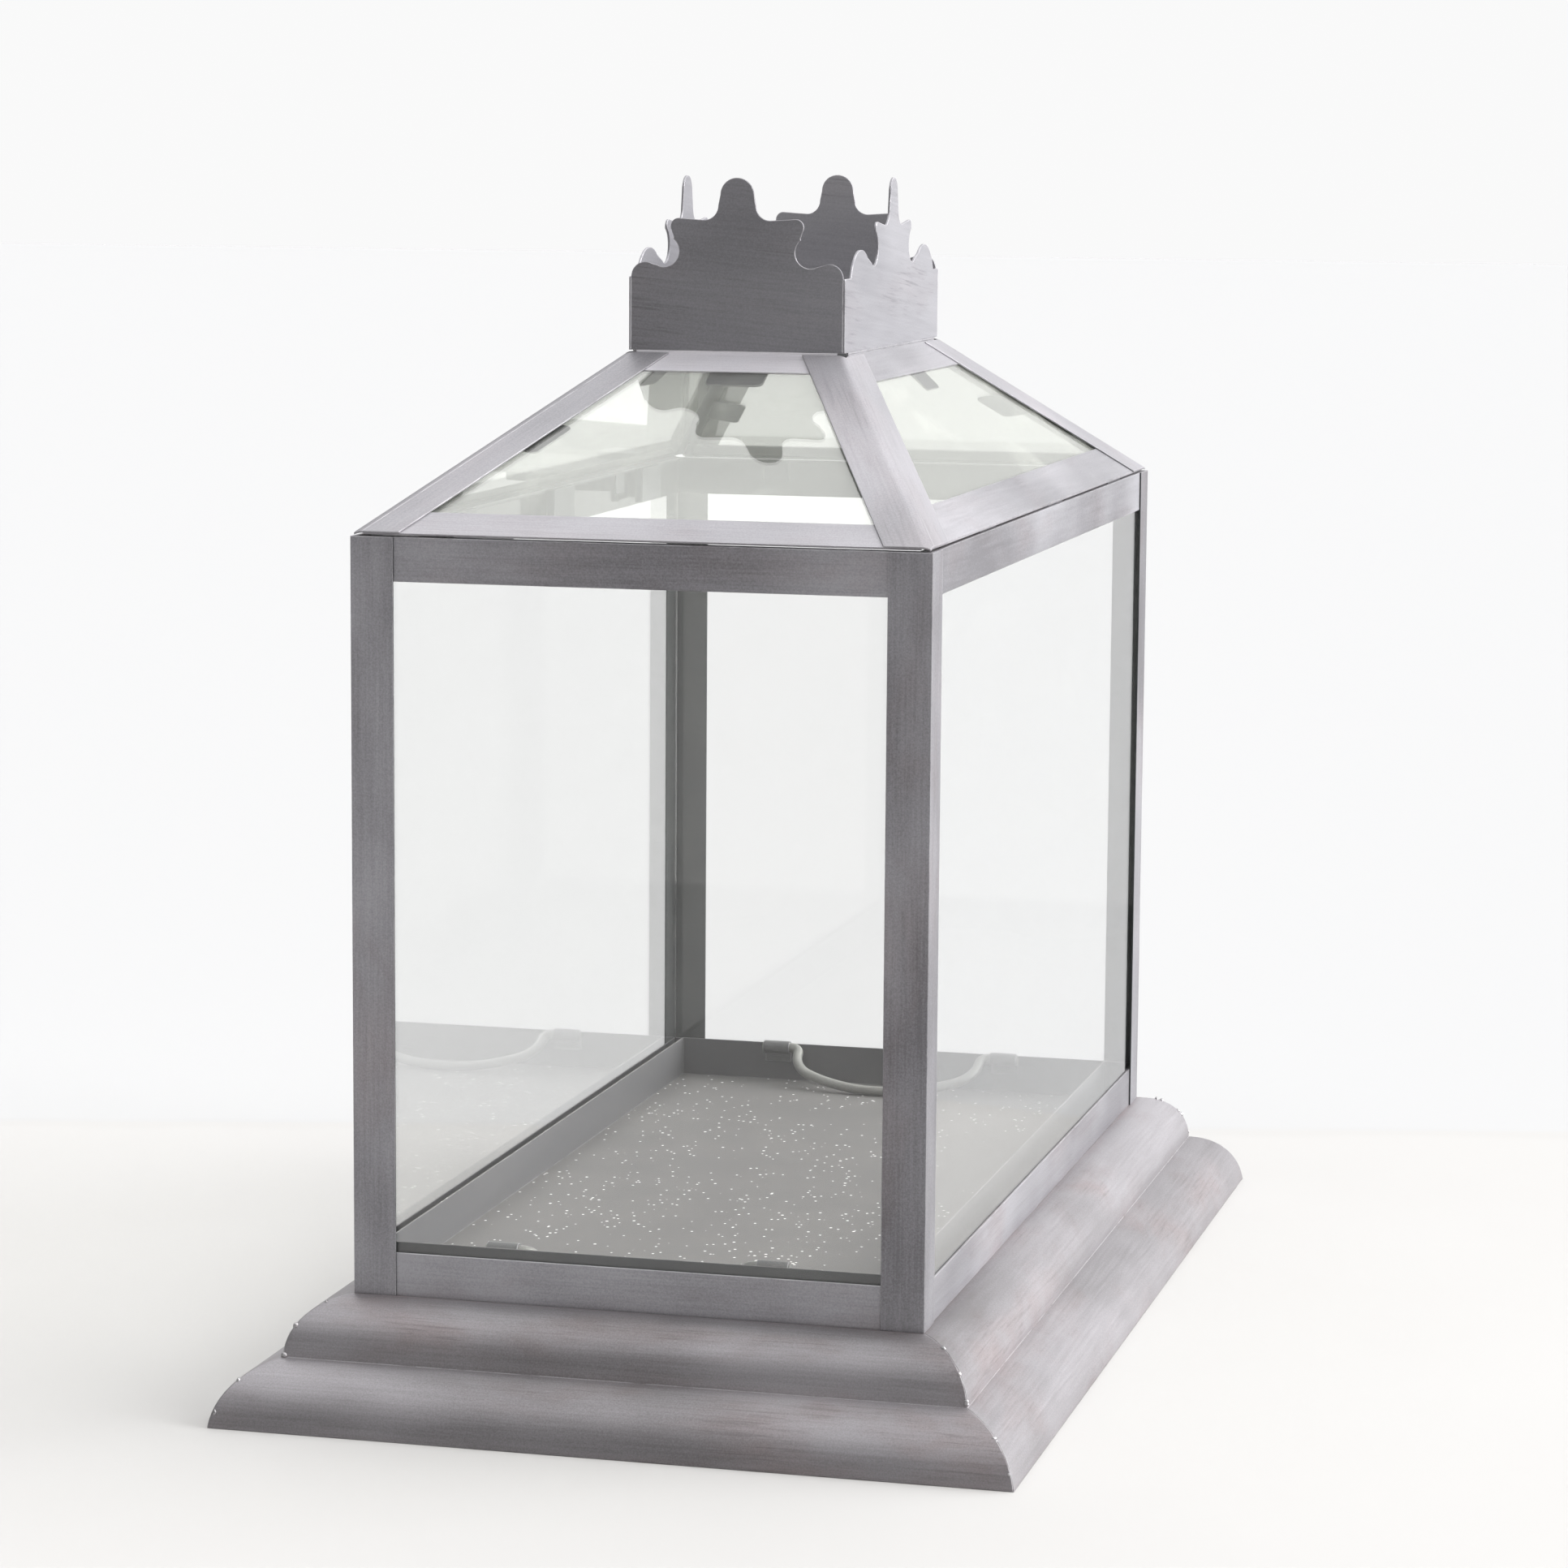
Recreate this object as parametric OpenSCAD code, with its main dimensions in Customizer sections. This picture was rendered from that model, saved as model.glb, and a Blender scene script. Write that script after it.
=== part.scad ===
// Glass cloche: a glazed box on a stepped moulded base, with a lift-off hipped lid,
// a cut-out crest round the top of the lid and a loose tray with two bail handles.
// X runs across the narrow front, Y along the length, Z up; the origin is the middle of
// the footprint at ground level.  The front faces -Y.

/* [Glazed box] */
// Width of the glazed box across the front
box_w = 400; // [360:10:480]
// Length of the glazed box from front to back
box_l = 800; // [700:10:900]
// Height of the glazed box, from the base to the rim
box_h = 520; // [400:10:600]
// Width of each leg of the corner posts and of each rail's face
leg = 30; // [24:1:36]
// Inward flange of the rails
flange = 10; // [8:1:12]
// Thickness of the folded sheet metal
sheet = 1.2; // [1:0.1:1.5]
// Thickness of the glass
glass = 3; // [3:0.5:4]

/* [Base] */
// Height of the stepped base
base_h = 80; // [70:2:100]
// Height of the crease between the two mouldings
crease_h = 42; // [38:1:46]
// How far the base reaches out past the box on every side
base_out = 78; // [72:1:90]
// Radius of the lower moulding
lower_r = 48.5; // [46:0.5:56]
// Width of the flat ledge under the box
ledge = 30; // [24:1:36]

/* [Lid] */
// Height of the hipped part of the lid
hip_rise = 112.5; // [90:2.5:140]
// Distance of the eaves inside the faces of the box
eave_inset = 2; // [0:0.5:4]
// Width of the crest across the front
crest_w = 158; // [140:2:180]
// Length of the crest along the sides
crest_l = 299; // [270:1:330]
// Thickness of the crest plates
crest_t = 1.6; // [1.2:0.2:2]
// Height of the corners of the crest
crest_h = 52; // [44:1:60]
// Height of the middle knob of the crest
knob_h = 122; // [110:1:130]
// Width of each leg of the folded hip straps
strap_w = 29; // [24:1:34]
// Outer radius of the fold along each hip strap
strap_r = 12; // [6:1:14]
// Width of the face of the rails round the top of the lid
ring_leg = 26; // [24:1:30]

/* [Tray] */
// Width of the tray
tray_w = 360; // [320:5:370]
// Length of the tray
tray_l = 763; // [660:1:770]
// Height of the tray walls
tray_h = 32; // [28:1:40]
// How far the tray has slid to the left
tray_slip = 7; // [0:0.5:8]
// How far the tray has slid to the back
tray_slip_back = 6.5; // [0:0.5:6.5]
// Diameter of the handle rod
rod_d = 8; // [6:0.5:9]
// Half the width of a handle between its legs
bail_half = 76; // [60:1:90]
// Radius of a handle's bends between its legs and its grip
haunch_r = 28; // [24:1:32]
// Half the angle that the arched grip of a handle spans
grip_half = 28; // [26:1:34]
// Length of the rolled sleeves that hold a handle
sleeve_l = 22; // [16:1:30]

/* [Hidden] */

$fn = 64;
zinc = [0.44, 0.44, 0.46];
pale_zinc = [0.62, 0.61, 0.64];
dark_zinc = [0.30, 0.30, 0.31];
tint = [0.80, 0.86, 0.83, 0.35];

// Sides are numbered 0 front, 1 right, 2 back, 3 left.
half_w = box_w / 2;
half_l = box_l / 2;
function span_of(k) = k % 2 == 0 ? half_w : half_l;
function reach_of(k) = k % 2 == 0 ? half_l : half_w;

seam = 0.25;
lobe_r = 10.3;
corner_r = 1.5;
rim_z = base_h + box_h;
hem = 11;

// Lid: the outer faces of the hip straps lie in the reference planes.
eave_z = rim_z + 3.5;
ring_z = eave_z + hip_rise;
pitch_front = atan2(hip_rise, half_l - eave_inset - crest_l / 2);
pitch_side = atan2(hip_rise, half_w - eave_inset - crest_w / 2);
function pitch_of(k) = k % 2 == 0 ? pitch_front : pitch_side;
function eave_of(k) = reach_of(k) - eave_inset;
function crest_of(k) = (k % 2 == 0 ? crest_l : crest_w) / 2;
function ring_of(k) = crest_of(k) + sheet / sin(pitch_of(k));
function slope_of(k) = norm([eave_of(k) - ring_of(k), hip_rise]);

// The hip between side k and the next side, as it lies on side k.
function hip_of(k) = [eave_of(k + 1) - crest_of(k + 1), eave_of(k) - crest_of(k)];
function hip_azimuth(k) = 90 + atan2(hip_of(k)[0], hip_of(k)[1]);
function hip_climb(k) = atan2(hip_rise, norm(hip_of(k)));

// Slopes of the two roof planes beside that hip, seen along it.
function fall_before(k) = asin(-sin(pitch_of(k)) * cos(hip_azimuth(k)));
function fall_after(k) = asin(sin(pitch_of(k + 1)) * sin(hip_azimuth(k)));
function half_fold(k) = (fall_before(k) + fall_after(k)) / 2;

// Where the flat of a strap's leg starts, measured from the hip.
function fold_reach(k) = strap_r * tan(half_fold(k));

// The same distance along the eave of side k, for the rails under the straps.
function rail_inset(k) = fold_reach(k) * norm([eave_of(k + 1) - ring_of(k + 1), slope_of(k)])
    / slope_of(k);
lug_l = 52;
lug_depth = 6.5;
lug_drop = 26;
lug_pitch = 239;
lug_shift = 29;

// Tray
tray_z = base_h + 0.2;
floor_z = tray_z + sheet;
rod_r = rod_d / 2;
bore_r = rod_r + 0.05;
sleeve_r = bore_r + sheet;
hinge_z = tray_z + tray_h - 2.4;
hinge_y = tray_l / 2 - sheet - sleeve_r;
rod_lift = 0.1;
elbow_r = 7;
grip_thin = 0.03;
grip_lap = 0.3;
grip_r = haunch_r + (bail_half - haunch_r) / sin(grip_half);
bail_reach = elbow_r + haunch_r * cos(grip_half) + grip_r * (1 - cos(grip_half));
rest_angle = asin((hinge_z - floor_z - rod_r - rod_lift) / bail_reach);
sleeve_gap = 1.5;
journal_end = 1;
sleeve_in = bail_half + elbow_r + sleeve_gap;

// ---- helpers -------------------------------------------------------------------------

// Turns a front-side piece to side k.
module on_side(k) {
    rotate([0, 0, 90 * k]) children();
}

// Extrudes a cross-section, drawn as [distance out from the centre, height], along X.
module along(length) {
    rotate([90, 0, -90]) linear_extrude(height = length, center = true) children();
}

// Keeps what lies between the two mitre planes of side k: in plan they run from
// (inner_span, inner_reach) to (outer_span, outer_reach) and back on the other side.
module mitred(inner_span, inner_reach, outer_span, outer_reach, inset) {
    intersection() {
        children();
        linear_extrude(height = 2 * ring_z)
            polygon([
                [-inner_span + inset, -inner_reach], [inner_span - inset, -inner_reach],
                [outer_span - inset, -outer_reach], [-outer_span + inset, -outer_reach]
            ]);
    }
}

// Square mitres round the box, from a distance inside its faces to a distance outside.
module box_mitred(k, inside, outside) {
    mitred(span_of(k) - inside, reach_of(k) - inside, span_of(k) + outside,
        reach_of(k) + outside, seam) children();
}

// Mitres along the hips of the lid, from inside the crest to past the eaves.
module hip_mitred(k, inset) {
    run = (eave_of(k + 1) - ring_of(k + 1)) / (eave_of(k) - ring_of(k));
    inside = leg;
    outside = leg;
    mitred(ring_of(k + 1) - inside * run, ring_of(k) - inside, eave_of(k + 1) + outside * run,
        eave_of(k) + outside, inset) children();
}

// A point of side k's roof plane: v up the slope from the eave, d below the outer face.
function roof_point(k, v, d) = [
    eave_of(k) - v * cos(pitch_of(k)) - d * sin(pitch_of(k)),
    eave_z + v * sin(pitch_of(k)) - d * cos(pitch_of(k))
];

// Cross-section of a flat layer of the roof, from v0 to v1 up the slope and d0 to d1 deep.
module roof_layer(k, v0, v1, d0, d1) {
    polygon([roof_point(k, v0, d0), roof_point(k, v1, d0), roof_point(k, v1, d1),
        roof_point(k, v0, d1)]);
}

// Places what is drawn flat (X across, Y up the slope, Z out) on the roof plane of side k.
module on_roof(k) {
    on_side(k) translate([0, -eave_of(k), eave_z]) rotate([pitch_of(k), 0, 0]) children();
}

module rounded_plate(w, h, r) {
    union() {
        translate([-w / 2 + r, -h / 2]) square([w - 2 * r, h]);
        translate([-w / 2, -h / 2 + r]) square([w, h - 2 * r]);
        for (x = [-1, 1], y = [-1, 1])
            translate([x * (w / 2 - r), y * (h / 2 - r)]) circle(r);
    }
}

// ---- base ----------------------------------------------------------------------------

// Centre of the lower moulding's arc, from the crease to the outer bottom edge.
upper_r = base_h - crease_h;
chord = [base_out - upper_r, -crease_h];
sagitta_arm = sqrt(lower_r * lower_r - norm(chord) * norm(chord) / 4);
lower_centre = [upper_r, crease_h] + chord / 2
    + sagitta_arm * [chord[1], -chord[0]] / norm(chord);

// Band of one sheet's thickness inside a circle.
module sheet_arc(centre, r) {
    translate(centre) difference() {
        circle(r, $fn = 128);
        circle(r - sheet, $fn = 128);
    }
}

// Two convex mouldings over each other, with a ledge at the top and a hem at the foot.
module skirt_section() {
    intersection() {
        sheet_arc([0, crease_h], upper_r);
        translate([0, crease_h - sheet / 2]) square(base_h);
    }
    intersection() {
        sheet_arc(lower_centre, lower_r);
        translate([upper_r - sheet / 2, 0]) square(base_h);
    }
    translate([-ledge, base_h - sheet]) square([ledge, sheet]);
    translate([base_out - hem - sheet / 2, 0]) square([hem, sheet]);
}

module skirt(k) {
    spare = 5;
    color(zinc) on_side(k) box_mitred(k, ledge + spare, base_out + spare)
        along(2 * (span_of(k) + base_out + spare))
            translate([reach_of(k), 0]) skirt_section();
}

module skirt_front() {
    skirt(0);
}

module skirt_right() {
    skirt(1);
}

module skirt_back() {
    skirt(2);
}

module skirt_left() {
    skirt(3);
}

// Sheet under the ledge that closes the base.
module base_plate() {
    lap = 10;
    color(dark_zinc)
        translate([-half_w + ledge - lap, -half_l + ledge - lap, base_h - 2 * sheet])
            cube([box_w - 2 * (ledge - lap), box_l - 2 * (ledge - lap), sheet]);
}

// ---- glazed box ----------------------------------------------------------------------

// Folded angle at the corner between side k and the next side.
module post(k) {
    color(zinc) on_side(k) translate([span_of(k), -reach_of(k), base_h]) mirror([1, 0, 0])
        difference() {
            cube([leg, leg, box_h]);
            translate([sheet, sheet, -1]) cube([leg, leg, box_h + 2]);
        }
}

module post_front_right() {
    post(0);
}

module post_back_right() {
    post(1);
}

module post_back_left() {
    post(2);
}

module post_front_left() {
    post(3);
}

// Folded angle between the posts, behind their legs; z0 is its lower edge and the
// flange lies at its lower or its upper edge.
module rail(k, z0, flange_z) {
    face = reach_of(k) - sheet;
    color(zinc) on_side(k) box_mitred(k, leg, 0) along(2 * (span_of(k) - sheet)) {
        translate([face - sheet, z0]) square([sheet, leg]);
        translate([face - flange, flange_z]) square([flange, sheet]);
    }
}

module bottom_rail(k) {
    rail(k, base_h, base_h);
}

module bottom_rail_front() {
    bottom_rail(0);
}

module bottom_rail_right() {
    bottom_rail(1);
}

module bottom_rail_back() {
    bottom_rail(2);
}

module bottom_rail_left() {
    bottom_rail(3);
}

module top_rail(k) {
    rail(k, rim_z - leg, rim_z - sheet);
}

module top_rail_front() {
    top_rail(0);
}

module top_rail_right() {
    top_rail(1);
}

module top_rail_back() {
    top_rail(2);
}

module top_rail_left() {
    top_rail(3);
}

// Pane behind the rails of side k; the side panes stop short of the end panes.
pane_z = base_h + sheet;
pane_top = rim_z - sheet - 2;
module wall_glass(k) {
    half = span_of(k) - 2 * sheet - 0.6 - (k % 2 == 0 ? 0 : glass);
    color(tint) on_side(k)
        translate([-half, -reach_of(k) + 2 * sheet, pane_z])
            cube([2 * half, glass, pane_top - pane_z]);
}

module wall_glass_front() {
    wall_glass(0);
}

module wall_glass_right() {
    wall_glass(1);
}

module wall_glass_back() {
    wall_glass(2);
}

module wall_glass_left() {
    wall_glass(3);
}

// Two small tongues per pane, hanging from the rim's flange behind the glass.
module wall_clips() {
    clip_w = 22;
    clip_h = 16;
    color(dark_zinc) for (k = [0:3], side = [-1, 1])
        on_side(k)
            translate([side * span_of(k) * 0.55 - clip_w / 2,
                -reach_of(k) + 2 * sheet + glass, rim_z - sheet - clip_h])
                cube([clip_w, sheet, clip_h]);
}

// ---- tray ----------------------------------------------------------------------------

module in_tray() {
    translate([-tray_slip, tray_slip_back, 0]) children();
}

// Shallow open pan folded from one sheet.
module tray_pan() {
    color(dark_zinc) in_tray() translate([-tray_w / 2, -tray_l / 2, tray_z]) difference() {
        cube([tray_w, tray_l, tray_h]);
        translate([sheet, sheet, sheet])
            cube([tray_w - 2 * sheet, tray_l - 2 * sheet, tray_h]);
    }
}

// Strip rolled round the rod, with its tail flat on the inside of the end wall.
module sleeve() {
    tail_h = 13;
    difference() {
        union() {
            rotate([0, 90, 0]) cylinder(r = sleeve_r, h = sleeve_l);
            translate([0, sleeve_r - sheet, -tail_h]) cube([sleeve_l, sheet, tail_h]);
        }
        translate([-1, 0, 0]) rotate([0, 90, 0]) cylinder(r = bore_r, h = sleeve_l + 2);
    }
}

// The two sleeves on the back wall of the tray.
module sleeve_pair() {
    for (x = [-sleeve_in - sleeve_l, sleeve_in])
        translate([x, hinge_y, hinge_z]) sleeve();
}

module sleeves_back() {
    color(dark_zinc) in_tray() sleeve_pair();
}

module sleeves_front() {
    color(dark_zinc) in_tray() rotate([0, 0, 180]) sleeve_pair();
}

// A stretch of round rod bent to radius r, from angle a0 through a sweep.
module rod_bend(centre, r, a0, sweep, rod) {
    translate([centre[0], centre[1], 0]) rotate([0, 0, a0])
        rotate_extrude(angle = sweep, $fn = 96) translate([r, 0]) circle(rod, $fn = 32);
}

// Bail drawn flat: its journals lie on X, its bow is a three-centred arch towards +Y.
// The grip is drawn a hair thinner and runs a little way into the haunches.
module bail() {
    journal_l = sleeve_gap + sleeve_l + journal_end;
    haunch_x = bail_half - haunch_r;
    for (side = [0, 1]) mirror([side, 0, 0]) {
        translate([bail_half + elbow_r, 0, 0]) rotate([0, 90, 0])
            cylinder(r = rod_r, h = journal_l, $fn = 32);
        rod_bend([bail_half + elbow_r, elbow_r], elbow_r, 180, 90, rod_r);
        rod_bend([haunch_x, elbow_r], haunch_r, 0, 90 - grip_half, rod_r);
    }
    rod_bend([0, bail_reach - grip_r], grip_r, 90 - grip_half - grip_lap,
        2 * (grip_half + grip_lap), rod_r - grip_thin);
}

// The bow of each handle rests on the floor of the tray, towards its middle.
module handle(turn) {
    color(pale_zinc) in_tray() rotate([0, 0, turn])
        translate([0, hinge_y, hinge_z]) rotate([rest_angle, 0, 0]) mirror([0, 1, 0]) bail();
}

module handle_back() {
    handle(0);
}

module handle_front() {
    handle(180);
}

// ---- lid -----------------------------------------------------------------------------

// Folded rail along the eave: a sloping face and a flat flange over the rim.
module eave_rail(k) {
    flange_z = rim_z + sheet;
    color(pale_zinc) on_side(k) hip_mitred(k, rail_inset(k)) along(2 * span_of(k)) {
        roof_layer(k, 0, leg, sheet, 2 * sheet);
        translate([eave_of(k) - flange - 4, flange_z]) square([flange + 3.2, sheet]);
    }
}

module eave_rail_front() {
    eave_rail(0);
}

module eave_rail_right() {
    eave_rail(1);
}

module eave_rail_back() {
    eave_rail(2);
}

module eave_rail_left() {
    eave_rail(3);
}

// Folded rail round the top: a sloping face and a flat flange that carries the crest.
module ring_rail(k) {
    color(pale_zinc) on_side(k) hip_mitred(k, rail_inset(k)) along(2 * span_of(k))
        intersection() {
            union() {
                roof_layer(k, slope_of(k) - ring_leg, slope_of(k) + leg, sheet, 2 * sheet);
                translate([crest_of(k) - flange, ring_z - sheet]) square([flange, sheet]);
            }
            translate([crest_of(k) - flange, 0]) square([reach_of(k), ring_z]);
        }
}

module ring_rail_front() {
    ring_rail(0);
}

module ring_rail_right() {
    ring_rail(1);
}

module ring_rail_back() {
    ring_rail(2);
}

module ring_rail_left() {
    ring_rail(3);
}

// Cross-section of a hip strap, with the hip at the origin and outwards along -X: two flat
// legs and the bend between them, tangent to both.
module strap_section(k) {
    centre = strap_r / cos(half_fold(k));
    lean = (fall_after(k) - fall_before(k)) / 2;
    rotate([0, 0, lean]) {
        intersection() {
            translate([centre, 0]) difference() {
                circle(strap_r, $fn = 128);
                circle(strap_r - sheet, $fn = 128);
            }
            polygon([
                [centre, 0],
                [centre - 2 * strap_r * cos(half_fold(k)), 2 * strap_r * sin(half_fold(k))],
                [centre - 2 * strap_r * cos(half_fold(k)), -2 * strap_r * sin(half_fold(k))]
            ]);
        }
        for (side = [0, 1]) mirror([0, side]) rotate([0, 0, -half_fold(k)])
            translate([0, fold_reach(k)]) square([sheet, strap_w - fold_reach(k)]);
    }
}

// Strap folded over the hip between side k and the next side, cut off flush with the eaves
// and with the crest.
module hip_strap(k) {
    low = [eave_of(k + 1), -eave_of(k)];
    past = 60;
    color(pale_zinc) on_side(k) difference() {
        translate([low[0], low[1], eave_z]) rotate([0, 90 - hip_climb(k), hip_azimuth(k)])
            translate([0, 0, -past]) linear_extrude(height = norm([hip_of(k)[0], hip_of(k)[1],
                hip_rise]) + 2 * past) strap_section(k);
        translate([low[0], low[1] - 2 * past, 0]) cube([2 * past, 2 * half_l, 2 * ring_z]);
        translate([-half_w, low[1] - 2 * past, 0]) cube([2 * box_w, 2 * past, 2 * ring_z]);
        translate([-half_w, -ring_of(k), 0])
            cube([half_w + ring_of(k + 1), half_l, 2 * ring_z]);
    }
}

module hip_strap_front_right() {
    hip_strap(0);
}

module hip_strap_back_right() {
    hip_strap(1);
}

module hip_strap_back_left() {
    hip_strap(2);
}

module hip_strap_front_left() {
    hip_strap(3);
}

// Four-sided pane under the rails and straps of side k.
pane_inset = 10;
module roof_glass(k) {
    color(tint) on_side(k) hip_mitred(k, pane_inset * 1.2) along(2 * span_of(k))
        roof_layer(k, pane_inset, slope_of(k) - pane_inset, 2 * sheet, 2 * sheet + glass);
}

module roof_glass_front() {
    roof_glass(0);
}

module roof_glass_right() {
    roof_glass(1);
}

module roof_glass_back() {
    roof_glass(2);
}

module roof_glass_left() {
    roof_glass(3);
}

// Round-cornered plates under the panes: one at each top rail and some part way up the
// hips, listed as [side, end of its eave, share of the slope, distance tucked under the strap].
clip_size = [42, 26];
clip_r = 5;
hip_clips = [[0, -1, 0.54, 6], [1, 1, 0.40, 9], [2, -1, 0.52, 0], [2, 1, 0.42, 8], [3, 1, 0.40, 7]];
module roof_clip(k, place, turn) {
    on_roof(k) translate([place[0], place[1], -2 * sheet - glass - sheet])
        rotate([0, 0, turn]) linear_extrude(height = sheet)
            rounded_plate(clip_size[0], clip_size[1], clip_r);
}

module hip_clip(k, side, share, tuck) {
    hip_run = eave_of(k + 1) - ring_of(k + 1);
    across = (strap_w - tuck) * norm([hip_run, slope_of(k)]) / slope_of(k);
    hip_lean = atan2(slope_of(k), hip_run);
    roof_clip(k, [side * (eave_of(k + 1) - share * hip_run - across), share * slope_of(k)],
        -side * hip_lean);
}

module roof_clips() {
    aside = 8;
    gap = 3;
    color(dark_zinc) {
        for (k = [0:3]) roof_clip(k, [aside, slope_of(k) - ring_leg - gap], 0);
        for (clip = hip_clips) hip_clip(clip[0], clip[1], clip[2], clip[3]);
    }
}

// Channels under the long eaves that hang inside the rim and keep the lid in place.
module lug() {
    foot = 10;
    wall_gap = 1.2;
    inner = half_w - sheet - flange - wall_gap;
    foot_gap = 0.1;
    translate([-lug_l / 2, -inner, rim_z - lug_drop]) difference() {
        cube([lug_l, lug_depth, lug_drop + sheet]);
        translate([sheet, -sheet, -1])
            cube([lug_l - 2 * sheet, lug_depth, lug_drop + 1]);
    }
    translate([-lug_l / 2, -inner - foot + sheet, rim_z + foot_gap])
        cube([lug_l, foot, sheet - foot_gap]);
}

module locating_lugs() {
    color(dark_zinc) for (k = [1, 3], n = [-1:1])
        on_side(k) translate([(k == 1 ? 1 : -1) * (lug_shift + n * lug_pitch), 0, 0]) lug();
}

// Flat sheet that closes the top of the lid, inside the crest.
module cap_plate() {
    play = 0.3;
    inner_w = crest_w - 2 * (crest_t + play);
    inner_l = crest_l - 2 * (crest_t + play);
    color(zinc) translate([-inner_w / 2, -inner_l / 2, ring_z])
        cube([inner_w, inner_l, sheet]);
}

// ---- crest ---------------------------------------------------------------------------

// Half of the cut-out outline, from the corner to the middle.  Each list is
// [distance from the middle, height, radius]: the shoulder lobe, the round notch beside
// it, the ear over the notch, the hollow beside the knob and the knob itself.
module crest_half(half, lobe, notch, ear, hollow, knob) {
    difference() {
        union() {
            square([half, crest_h - corner_r]);
            square([half - corner_r, crest_h]);
            translate([half - corner_r, crest_h - corner_r]) circle(corner_r);
            translate([lobe[0], lobe[1]]) circle(lobe[2]);
            polygon([
                [0, 0], [lobe[0], 0], [lobe[0], lobe[1] + lobe[2]],
                [notch[0], notch[1] - notch[2]],
                [notch[0] - 0.66 * notch[2], notch[1] + 0.88 * notch[2]],
                [ear[0] + 0.97 * ear[2], ear[1] - 0.2 * ear[2]], [ear[0], ear[1] + ear[2]],
                [hollow[0], hollow[1] - hollow[2]], [hollow[0] - hollow[2], hollow[1]],
                [knob[2], knob[1]], [0, knob[1]]
            ]);
            translate([ear[0], ear[1]]) circle(ear[2]);
            translate([0, knob[1]]) circle(knob[2]);
        }
        for (cut = [notch, hollow])
            translate([cut[0], cut[1]]) circle(cut[2]);
    }
}

module crest_outline(half, lobe, notch, ear, hollow, knob) {
    for (side = [0, 1]) mirror([side, 0]) crest_half(half, lobe, notch, ear, hollow, knob);
}

// Short plate, between the long ones.
module crest_end(k) {
    half = crest_w / 2 - crest_t;
    color(zinc) on_side(k) translate([0, -crest_l / 2 + crest_t, ring_z]) rotate([90, 0, 0])
        linear_extrude(height = crest_t)
            crest_outline(half, [half - lobe_r, crest_h, lobe_r], [53.3, knob_h - 52, 11.1],
                [42.5, knob_h - 34.5, 6], [24, knob_h - 19.5, 10.3],
                [0, knob_h - 12.2, 12.2]);
}

// Long plate, with the same ear and knob and a broad shoulder.
module crest_side(k) {
    color(pale_zinc) on_side(k) translate([0, -crest_w / 2 + crest_t, ring_z])
        rotate([90, 0, 0]) linear_extrude(height = crest_t)
            crest_outline(crest_l / 2, [0.68 * crest_l / 2, knob_h - 84.5, 34],
                [62, knob_h - 50, 13], [51.5, knob_h - 37, 5.5], [26, knob_h - 22, 12.5],
                [0, knob_h - 11.5, 11.5]);
}

module crest_front() {
    crest_end(0);
}

module crest_right() {
    crest_side(1);
}

module crest_back() {
    crest_end(2);
}

module crest_left() {
    crest_side(3);
}

skirt_front();
skirt_right();
skirt_back();
skirt_left();
base_plate();
post_front_right();
post_back_right();
post_back_left();
post_front_left();
bottom_rail_front();
bottom_rail_right();
bottom_rail_back();
bottom_rail_left();
top_rail_front();
top_rail_right();
top_rail_back();
top_rail_left();
wall_glass_front();
wall_glass_right();
wall_glass_back();
wall_glass_left();
wall_clips();
tray_pan();
sleeves_front();
sleeves_back();
handle_front();
handle_back();
eave_rail_front();
eave_rail_right();
eave_rail_back();
eave_rail_left();
ring_rail_front();
ring_rail_right();
ring_rail_back();
ring_rail_left();
hip_strap_front_right();
hip_strap_back_right();
hip_strap_back_left();
hip_strap_front_left();
roof_glass_front();
roof_glass_right();
roof_glass_back();
roof_glass_left();
roof_clips();
locating_lugs();
cap_plate();
crest_front();
crest_right();
crest_back();
crest_left();
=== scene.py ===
"""Looks of the glass cloche: patinated zinc sheet, window glass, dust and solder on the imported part.

Everything is in metres, in the part's own frame: X across the narrow front, Y along the length, Z up.
"""
import math
import random

import bpy
from mathutils import Matrix, Vector


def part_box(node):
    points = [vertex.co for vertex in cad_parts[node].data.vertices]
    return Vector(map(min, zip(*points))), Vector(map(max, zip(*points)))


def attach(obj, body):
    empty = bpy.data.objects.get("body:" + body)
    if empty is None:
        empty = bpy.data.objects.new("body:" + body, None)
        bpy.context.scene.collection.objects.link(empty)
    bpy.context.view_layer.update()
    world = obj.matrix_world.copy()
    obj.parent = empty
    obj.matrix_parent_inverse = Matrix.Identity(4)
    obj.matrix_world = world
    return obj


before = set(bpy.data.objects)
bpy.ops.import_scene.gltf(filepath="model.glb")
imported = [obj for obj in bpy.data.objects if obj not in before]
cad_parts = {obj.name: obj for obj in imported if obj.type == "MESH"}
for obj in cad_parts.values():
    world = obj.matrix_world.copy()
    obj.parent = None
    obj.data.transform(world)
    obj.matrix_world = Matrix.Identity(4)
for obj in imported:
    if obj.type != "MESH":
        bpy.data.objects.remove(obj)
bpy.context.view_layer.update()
MM = 0.001
X, Y, Z = (1, 0, 0), (0, 1, 0), (0, 0, 1)

# ---- camera --------------------------------------------------------------------------

SENSOR = 36.0
FOCAL = 107.49
CAMERA_AT = Vector((0.8582, -3.3596, 0.8689))
CAMERA_YAW = 0.2504
CAMERA_DOWN = 0.138
CAMERA_ROLL = 0.0072


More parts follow.
